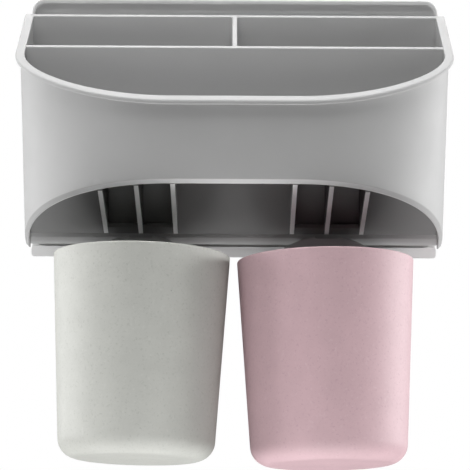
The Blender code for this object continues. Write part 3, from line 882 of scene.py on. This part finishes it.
@dataclass
class OrganiserBody:
    """The bowed shell with its flange, compartments, guides and tongues."""

    finishes: Finishes

    def build(self) -> None:
        """Builds every piece of the body and puts them in the place of the CAD node."""
        shell = self.shell()
        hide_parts("organiser_body")
        self.back_wall()
        self.dividers()
        self.floor()
        self.corner_fillets()
        self.posts()
        self.guides()
        self.tongues()

    def piece(self, name: str, bm: bmesh.types.BMesh, sharp: float = EDGE_ANGLE) -> bpy.types.Object:
        """Finishes one piece of the body."""
        return finish_mesh(name, bm, self.finishes.body, "organiser", sharp)

    def section(self) -> list[tuple[Level, float, float]]:
        """The wall's closed section, from the inner bottom edge round the outside.

        Returns:
            Its points, each as what the height is measured from, the height, and the inset.
        """
        plan = BODY
        top_edge, rim_edge, fillet, tip = plan.top_edge, plan.rim_edge, plan.lip_fillet, plan.lip_round
        r, lip, over = plan.rim_chamfer, plan.lip_thickness, plan.lip_overhang
        chamfer = ((0.0, 1.13), (0.03, 0.97), (0.14, 0.86), (0.86, 0.14), (0.97, 0.03), (1.13, 0.0))
        points = [(Level.RIM, rim_edge * c, plan.rim_wall - rim_edge * s) for c, s in shares(90, 45, 0)]
        points += [(Level.RIM, r * up, r * inwards) for up, inwards in chamfer]
        points += [(Level.BETWEEN, share, 0.0) for share in (0.1, 0.25, 0.4, 0.55, 0.7, 0.82, 0.9)]
        points.append((Level.TOP, -lip - 2 * fillet, 0.0))
        points += [(Level.TOP, -lip - fillet * s, -fillet * c) for c, s in shares(0, 30, 60, 90)]
        points += [(Level.TOP, -lip + tip * c, -over + tip * s) for c, s in shares(0, 30, 60, 90)]
        points += [(Level.TOP, -tip * s, -over + tip * c) for c, s in shares(0, 22, 45, 67, 90)]
        points.append((Level.TOP, 0.0, -over + 2 * tip))
        points.append((Level.TOP, 0.0, plan.wall - 2 * top_edge))
        points += [(Level.TOP, -top_edge * c, plan.wall - top_edge * s) for c, s in shares(0, 30, 60, 90)]
        points.append((Level.TOP, -2 * top_edge, plan.wall))
        points.append((Level.TOP, -plan.row_below_top, plan.wall))
        points.append((Level.FIXED, plan.floor_top + plan.row_above_floor, plan.wall))
        points.append((Level.FIXED, plan.floor_top - plan.floor_wall * plan.thickening[0], plan.wall))
        points.append((Level.FIXED, plan.floor_top - plan.floor_wall * plan.thickening[1], plan.rim_wall))
        points.append((Level.RIM, plan.row_above_rim, plan.rim_wall))
        points.append((Level.RIM, 2 * top_edge, plan.rim_wall))
        return points

    def shell(self) -> bpy.types.Object:
        """The bowed wall with its flange, as one closed sweep.

        Returns:
            The shell.
        """
        bm = bmesh.new()
        section = self.section()
        rings: list[list[bmesh.types.BMEdge]] = []
        for station in BODY.stations():
            verts = [bm.verts.new(BODY.locate(station, kind, value, inset)) for kind, value, inset in section]
            rings.append([bm.edges.new(pair) for pair in zip(verts, verts[1:] + verts[:1])])
        for one, two in zip(rings, rings[1:]):
            bmesh.ops.bridge_loops(bm, edges=one + two)
        bmesh.ops.contextual_create(bm, geom=rings[0])
        bmesh.ops.contextual_create(bm, geom=rings[-1])
        return self.piece("shell", bm, BOWED_EDGE_ANGLE)

    def back_wall(self) -> None:
        """The flat back, with its lower edge chamfered down to the rear."""
        plan = BODY
        near, far = plan.back, plan.back + plan.wall
        foot = plan.rim_at_back + plan.back_foot
        profile = [
            (near, plan.top(near)),
            (near, foot),
            (far, foot + plan.back_chamfer),
            (far, plan.top(far)),
        ]
        half = plan.width / 2 - plan.rim_wall
        self.piece("back_wall", soften(prism_along_x(profile, -half, half), plan.back_edge))

    def dividers(self) -> None:
        """The full-width divider and the one between the two rear compartments, run into the floor."""
        plan = BODY
        near, far = plan.divider_depth - plan.divider_wall, plan.divider_depth
        inside_wall = 0.2 * MM
        half = plan.width / 2 - plan.wall - inside_wall
        self.divider("middle_divider", near, far, half)
        start, end = plan.back + plan.wall / 2, near + plan.divider_wall / 2
        self.divider("centre_divider", start, end, plan.centre_wall / 2)

    def divider(self, name: str, near: float, far: float, half: float) -> None:
        """One divider, from inside the floor up to the sloped top.

        Args:
            name: the piece's name.
            near: depth of its rear face.
            far: depth of its front face.
            half: half its width.
        """
        plan = BODY
        low = plan.floor_top - plan.floor_wall / 2
        profile = [(near, low), (far, low), (far, plan.top(far)), (near, plan.top(near))]
        self.piece(name, soften(prism_along_x(profile, -half, half), plan.divider_edge))

    def floor(self) -> None:
        """The floor of the compartments, run into the walls."""
        plan = BODY
        level = plan.floor_top - plan.floor_wall / 2
        outline = []
        for station in plan.stations():
            x, depth = plan.plan(station, level, plan.wall / 2, plan.back + plan.wall / 2)
            outline.append((x, -depth))
        self.piece("floor", prism(outline, plan.floor_top - plan.floor_wall, plan.floor_top))

    def corner_fillets(self) -> None:
        """Round upright corners of the rear compartments, cut off just below the sloped top."""
        plan = BODY
        side_level, below_top = 20 * MM, 0.3 * MM
        low = plan.floor_top - plan.floor_wall / 2
        back, front = plan.back + plan.wall, plan.divider_depth - plan.divider_wall
        side = plan.plan(0.0, side_level, plan.wall, back)[0]
        places = []
        for sign in (-1, 1):
            places += [
                (sign * plan.centre_wall / 2, back, sign, 1),
                (sign * plan.centre_wall / 2, front, sign, -1),
                (sign * side, back, -sign, 1),
            ]
        point = Vector((0, -plan.back, plan.top_at_back - below_top))
        upwards = Vector((0, -math.sin(plan.top_slope), math.cos(plan.top_slope)))
        for number, place in enumerate(places):
            bm = prism(self.fillet_outline(*place), low, plan.level_high)
            cut_flat(bm, point, upwards)
            self.piece(f"corner_fillet_{number}", bm)

    def fillet_outline(self, x: float, depth: float, across: int, along: int) -> list[Point]:
        """Outline of one corner's rounding, sunk into the two walls that it joins.

        Args:
            x: the corner's x.
            depth: the corner's depth.
            across: sign of x towards the compartment.
            along: sign of the depth towards the compartment.

        Returns:
            Its (x, y) points.
        """
        r, sunk, steps = BODY.pocket_round, 0.6 * MM, 8
        buried = -(depth - along * sunk)
        outline = [(x - across * sunk, buried), (x + across * r, buried)]
        for i in range(steps + 1):
            a = math.pi / 2 * i / steps
            reach, rise = r * (1 - math.sin(a)), r * (1 - math.cos(a))
            outline.append((x + across * reach, -(depth + along * rise)))
        outline.append((x - across * sunk, -(depth + along * r)))
        return outline

    def posts(self) -> None:
        """Posts under the floor that locate the brush rack."""
        high = BODY.floor_top - BODY.floor_wall / 2
        for number, (x, depth) in enumerate(POST.places()):
            reach = depth + POST.radius + POST.collar_wall
            foot = BODY.ceiling(reach) + 1.5 * BODY.rack_wall + SEAT_GAP
            profile = [(0, foot), (POST.radius - POST.lead, foot), (POST.radius, foot + POST.lead)]
            bm = turned(profile + [(POST.radius, high), (0, high)], ROUND_SIDES)
            bmesh.ops.translate(bm, verts=bm.verts, vec=(x, -depth, 0))
            self.piece(f"post_{number}", bm)

    def guides(self) -> None:
        """Dovetail channels behind the back wall, each closed by a stop."""
        near, far = SLIDE.plate_front + SLIDE_GAP, BODY.back + BODY.wall / 2
        low = SLIDE.rail_bottom
        seat = low + SLIDE.rail_length + SEAT_GAP
        high = seat + SLIDE.stop_height
        half = SLIDE.guide_width / 2
        rear, top = near + BLEND, high - BLEND
        profile = [(rear, seat), (far, seat), (far, top), (rear, top)]
        for side in Side:
            middle = side.value * SLIDE.spacing / 2
            for hand, letter in ((-1, "a"), (1, "b")):
                outline = [
                    (middle + hand * SLIDE.flank(near), -near),
                    (middle + hand * half, -near),
                    (middle + hand * half, -far),
                    (middle + hand * SLIDE.flank(far), -far),
                ]
                bm = soften(prism(outline, low, high), SLIDE.guide_edge, 2)
                self.piece(f"guide_{side.label}_{letter}", bm)
            bm = prism_along_x(profile, middle - half + BLEND, middle + half - BLEND)
            self.piece(f"stop_{side.label}", soften(bm, SLIDE.stop_edge, 2))

    def tongues(self) -> None:
        """Tongues that run down behind the paddles, with holes for the paddles' pins."""
        front = -PADDLE.thickness - SEAT_GAP
        rear = front - PADDLE.tongue_wall
        half = PADDLE.tongue_width / 2
        high = PADDLE.radius - PADDLE.tongue_short
        outline = [(half, high), (-half, high)]
        outline += arc((0, half - PADDLE.tongue_below), half, 180, 360, ROUND_SIDES)
        hole_radius = PADDLE.pin_radius + SEAT_GAP
        start, end = rear - MM, front + MM
        hole_profile = [(0, start), (hole_radius, start), (hole_radius, end), (0, end)]
        for side in Side:
            place = PADDLE.matrix(side, LEAN)
            bm = moved(soften(prism(outline, rear, front), PADDLE.tongue_edge, 2), place)
            cut_flat(bm, Vector((0, -BODY.back - PADDLE.tongue_inset, 0)), Vector((0, 1, 0)))
            tongue = self.piece(f"tongue_{side.label}", bm)
            for height in PADDLE.pin_heights:
                pin_place = place @ Matrix.Translation((0, height, 0))
                cut_hole(tongue, moved(turned(hole_profile, ROUND_SIDES), pin_place))


@dataclass
class Cup:
    """A tapered tumbler with a magnet boss on its rear wall."""

    side: Side
    finishes: Finishes

    @property
    def body(self) -> str:
        """The CAD body of this cup."""
        return f"{self.side.label}_cup"

    @property
    def slot(self) -> str:
        """The record's material slot of this cup."""
        return "cup_stone" if self.side is Side.LEFT else "cup_pink"

    def piece(self, name: str, bm: bmesh.types.BMesh, sharp: float = EDGE_ANGLE) -> bpy.types.Object:
        """Finishes one piece of the cup."""
        material = self.finishes.cup(self.side)
        return finish_mesh(f"{name}_{self.side.label}", bm, material, self.body, sharp)

    def matrix(self) -> Matrix:
        """Places the cup: its origin is its base's centre and its Z runs up its axis.

        Returns:
            The matrix from the cup's own frame to the world.
        """
        outboard = self.side.value * (CUP.spacing - PADDLE.spacing) / 2
        drop = CUP.drop_left if self.side is Side.LEFT else CUP.drop_right
        contact = PADDLE.matrix(self.side, LEAN) @ Matrix.Translation((outboard, -drop, SEAT_GAP))
        splay = Matrix.Rotation(self.side.value * CUP.splay, 4, "Z")
        upright = Matrix.Rotation(LEAN - math.pi / 2, 4, "X")
        lean = Matrix.Rotation(-CUP.tilt, 4, "X")
        return contact @ splay @ upright @ lean @ Matrix.Translation(-self.boss_point())

    def boss_point(self) -> Vector:
        """Centre of the boss's outer face.

        Returns:
            The point, in the cup's own frame.
        """
        rim = Vector((0, CUP.rim_radius, CUP.height))
        along = Vector((0, -math.sin(CUP.taper), -math.cos(CUP.taper)))
        outwards = Vector((0, math.cos(CUP.taper), -math.sin(CUP.taper)))
        return rim + along * CUP.boss_drop + outwards * CUP.boss_proud

    def profile(self) -> list[Point]:
        """The cup's section, from the base's centre round the outside and back inside.

        Returns:
            Its (radius, height) points.
        """
        cup = CUP
        turn = math.degrees(cup.taper)
        centre = (cup.radius(cup.base_round) - cup.base_round / math.cos(cup.taper), cup.base_round)
        base = [(x * MM, z * MM) for x, z in cup.moulding_mark + cup.hollow_base]
        outer = arc(centre, cup.base_round, -90, -turn, 14)
        wall = [(cup.radius(h * MM), h * MM) for h in cup.outer_rows]
        r = cup.rim_round
        inner_face = cup.rim_radius - cup.wall
        lip = arc((cup.rim_radius - r - cup.lip_shy, cup.height - r), r, 0, 90, 4)
        lip += arc((inner_face + r, cup.height - r), r, 90, 180, 4)
        inside = [(cup.radius(h * MM) - cup.wall, h * MM) for h in cup.inner_rows]
        corner = arc(centre, cup.base_round - cup.wall, -turn, -90, 8)
        return base + outer + wall + lip + inside + corner + [(cup.floor_ring, cup.wall), (0, cup.wall)]

    def boss_ring(self) -> list[Point]:
        """The boss's section, with the seat of its cap.

        Returns:
            Its (radius, distance inwards from its outer face) points.
        """
        deep = CUP.boss_proud + CUP.wall / 2 + CUP.boss_radius**2 / (2 * CUP.rim_radius)
        seat, hole = CUP.cap_thickness + SEAT_GAP, CUP.cap_radius + SEAT_GAP
        radius, edge = CUP.boss_radius, CUP.boss_edge
        face = [(0, seat), (hole, seat), (hole, 0.0), (hole + CUP.boss_land, 0.0), (radius - edge, 0.0)]
        return face + [(radius - 0.3 * edge, 0.24 * edge), (radius, edge), (radius, deep), (0, deep)]

    def magnet_room(self) -> list[Point]:
        """Section of the room for the magnet under its cap, as boss_ring has it.

        Returns:
            Its points.
        """
        radius = CUP.magnet_radius + SEAT_GAP
        start = CUP.cap_thickness / 2
        end = CUP.cap_thickness + CUP.magnet_thickness + 2 * SEAT_GAP
        return [(0, start), (radius, start), (radius, end), (0, end)]

    def hollow(self) -> list[Point]:
        """Section of the cup's inside beside the boss, run a little into the wall.

        Returns:
            Its (radius, height) points.
        """
        low, high = 20 * MM, CUP.height + 5 * MM
        inset = CUP.wall - 0.1 * MM
        return [(0, low), (CUP.radius(low) - inset, low), (CUP.radius(high) - inset, high), (0, high)]

    def build(self) -> None:
        """Builds the tumbler and its boss and puts them in the place of the CAD node."""
        place = self.matrix()
        inwards = Matrix.Translation(self.boss_point()) @ Matrix.Rotation(math.pi / 2 - CUP.taper, 4, "X")
        boss_place = place @ inwards
        tumbler = self.piece("tumbler", moved(turned(self.profile(), CUP.sides), place), BOWED_EDGE_ANGLE)
        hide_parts(f"cup_{self.side.label}")
        boss = self.piece("boss", moved(turned(self.boss_ring(), CUP.boss_sides), boss_place))
        cut_hole(boss, moved(turned(self.hollow(), CUP.sides), place))
        for piece in (tumbler, boss):
            cut_hole(piece, moved(turned(self.magnet_room(), CUP.pocket_sides), boss_place))


@dataclass
class CarriedNodes:
    """CAD nodes that keep their own shape and get a better finish."""

    finishes: Finishes

    def dress(self) -> None:
        """Gives each carried node its material."""
        table = {
            "wall_plate": self.finishes.plate,
            "wall_adhesive_pad": self.finishes.foam,
            "brush_rack": self.finishes.rack,
        }
        for side in Side:
            table[f"cup_paddle_{side.label}"] = self.finishes.paddle
            table[f"paddle_magnet_{side.label}"] = self.finishes.magnet
            table[f"cup_magnet_{side.label}"] = self.finishes.magnet
            table[f"cup_magnet_cap_{side.label}"] = self.finishes.cup(side)
        for name, material in table.items():
            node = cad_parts[name]
            for slot in node.material_slots:
                slot.material = material
            LOG.info("%s: %s", name, material.name)


AIM_MIDDLE: Place = (0, -0.04, -0.04)  # near the middle of the object
AIM_CUPS: Place = (0, -0.05, -0.10)  # near the middle of the cups


@dataclass(frozen=True)
class SoftBox:
    """A rectangular studio light."""

    name: str
    place: Place
    size: Point
    power: float
    aim: Place = AIM_MIDDLE

    def build(self) -> None:
        """Adds the light, turned to what it aims at."""
        data = bpy.data.lights.new(self.name, "AREA")
        data.shape = "RECTANGLE"
        data.size, data.size_y = self.size
        data.energy = self.power
        light = bpy.data.objects.new(self.name, data)
        light.location = self.place
        light.rotation_euler = (Vector(self.aim) - Vector(self.place)).to_track_quat("-Z", "Y").to_euler()
        bpy.context.scene.collection.objects.link(light)


@dataclass(frozen=True)
class Viewpoint:
    """The camera, matched to the photograph."""

    lens: float = 206.8
    sensor: float = 36.0
    reach: float = 50.0
    place: Place = (0.37 * MM, -1260.2 * MM, -5.6 * MM)
    pitch: float = math.radians(88.0)
    roll: float = math.radians(-0.3)

    def build(self) -> None:
        """Adds the camera."""
        data = bpy.data.cameras.new("camera")
        data.lens = self.lens
        data.sensor_width = self.sensor
        data.clip_end = self.reach
        camera = bpy.data.objects.new("camera", data)
        camera.location = self.place
        camera.rotation_euler = (self.pitch, self.roll, 0.0)
        bpy.context.scene.collection.objects.link(camera)
        bpy.context.scene.camera = camera


@dataclass
class Studio:
    """Floor, light and camera."""

    ambient: float = 0.006
    white: RGB = (1.0, 1.0, 1.0)
    floor_half: float = 3.0
    floor_height: float = -2.6
    floor_tones: tuple[RGB, RGB] = ((0.86, 0.86, 0.86), (0.88, 0.88, 0.88))
    floor_roughness: float = 0.9
    floor_glow: float = 0.75
    boxes: tuple[SoftBox, ...] = (
        SoftBox("light_top", (0.0, -0.136, 1.056), (0.8, 0.8), 17.5),
        SoftBox("light_top_rear", (0.0, 0.51, 0.913), (0.6, 0.6), 4.0),
        SoftBox("light_top_left", (-0.708, -0.449, 0.696), (0.6, 0.6), 1.9),
        SoftBox("light_front", (0.0, -1.086, -0.38), (0.4, 0.4), 1.9),
        SoftBox("light_below", (0.0, -0.29, -0.38), (0.44, 0.15), 1.25, AIM_CUPS),
        SoftBox("light_under", (0.0, -0.04, -0.38), (0.44, 0.22), 0.36, AIM_CUPS),
        SoftBox("light_left", (-1.1, -0.04, -0.04), (0.45, 0.45), 8.5),
        SoftBox("light_left_rear", (-0.937, 0.5, -0.04), (0.45, 0.45), 4.5),
        SoftBox("light_right", (1.1, -0.04, -0.04), (0.45, 0.45), 8.0),
        SoftBox("light_right_rear", (0.997, 0.42, -0.04), (0.45, 0.45), 7.5),
    )

    def build(self) -> None:
        """Builds the whole studio."""
        for box in self.boxes:
            box.build()
        self.world()
        self.floor()
        Viewpoint().build()

    def world(self) -> None:
        """Soft ambient light, and a plain white background for the camera."""
        world = bpy.data.worlds.new("studio")
        bpy.context.scene.world = world
        world.use_nodes = True
        nodes, links = world.node_tree.nodes, world.node_tree.links
        ambient = nodes["Background"]
        backdrop = nodes.new("ShaderNodeBackground")
        for light, strength in ((ambient, self.ambient), (backdrop, 1.0)):
            light.inputs["Color"].default_value = (*self.white, 1)
            light.inputs["Strength"].default_value = strength
        path = nodes.new("ShaderNodeLightPath")
        mix = nodes.new("ShaderNodeMixShader")
        links.new(path.outputs["Is Camera Ray"], mix.inputs[0])
        links.new(ambient.outputs[0], mix.inputs[1])
        links.new(backdrop.outputs[0], mix.inputs[2])
        links.new(mix.outputs[0], nodes["World Output"].inputs["Surface"])

    def floor(self) -> None:
        """A wide pale floor well below the object, which glows for the camera alone."""
        bm = bmesh.new()
        bmesh.ops.create_grid(bm, x_segments=2, y_segments=2, size=self.floor_half)
        mesh = bpy.data.meshes.new("floor")
        bm.to_mesh(mesh)
        bm.free()
        floor = bpy.data.objects.new("studio_floor", mesh)
        floor.location = (0, 0, self.floor_height)
        bpy.context.scene.collection.objects.link(floor)
        graph = Graph("studio_floor")
        cloud = graph.span(graph.noise(3.0, 2.0), 0.3, 0.7)
        graph.join(graph.mix(cloud, *self.floor_tones), "Base Color")
        graph.set("Roughness", self.floor_roughness)
        path = graph.add("ShaderNodeLightPath")
        graph.set("Emission Color", (*self.white, 1))
        glow = graph.span(path.outputs["Is Camera Ray"], 0.0, 1.0, (0.0, self.floor_glow))
        graph.join(glow, "Emission Strength")
        mesh.materials.append(graph.material)


def main() -> None:
    """Builds the part's looks and the studio, in order."""
    logging.basicConfig(level=logging.INFO, format="%(message)s")
    bpy.context.scene.view_settings.view_transform = "Standard"
    finishes = Finishes()
    OrganiserBody(finishes).build()
    for side in Side:
        Cup(side, finishes).build()
    CarriedNodes(finishes).dress()
    Studio().build()


if __name__ == "__main__":
    main()
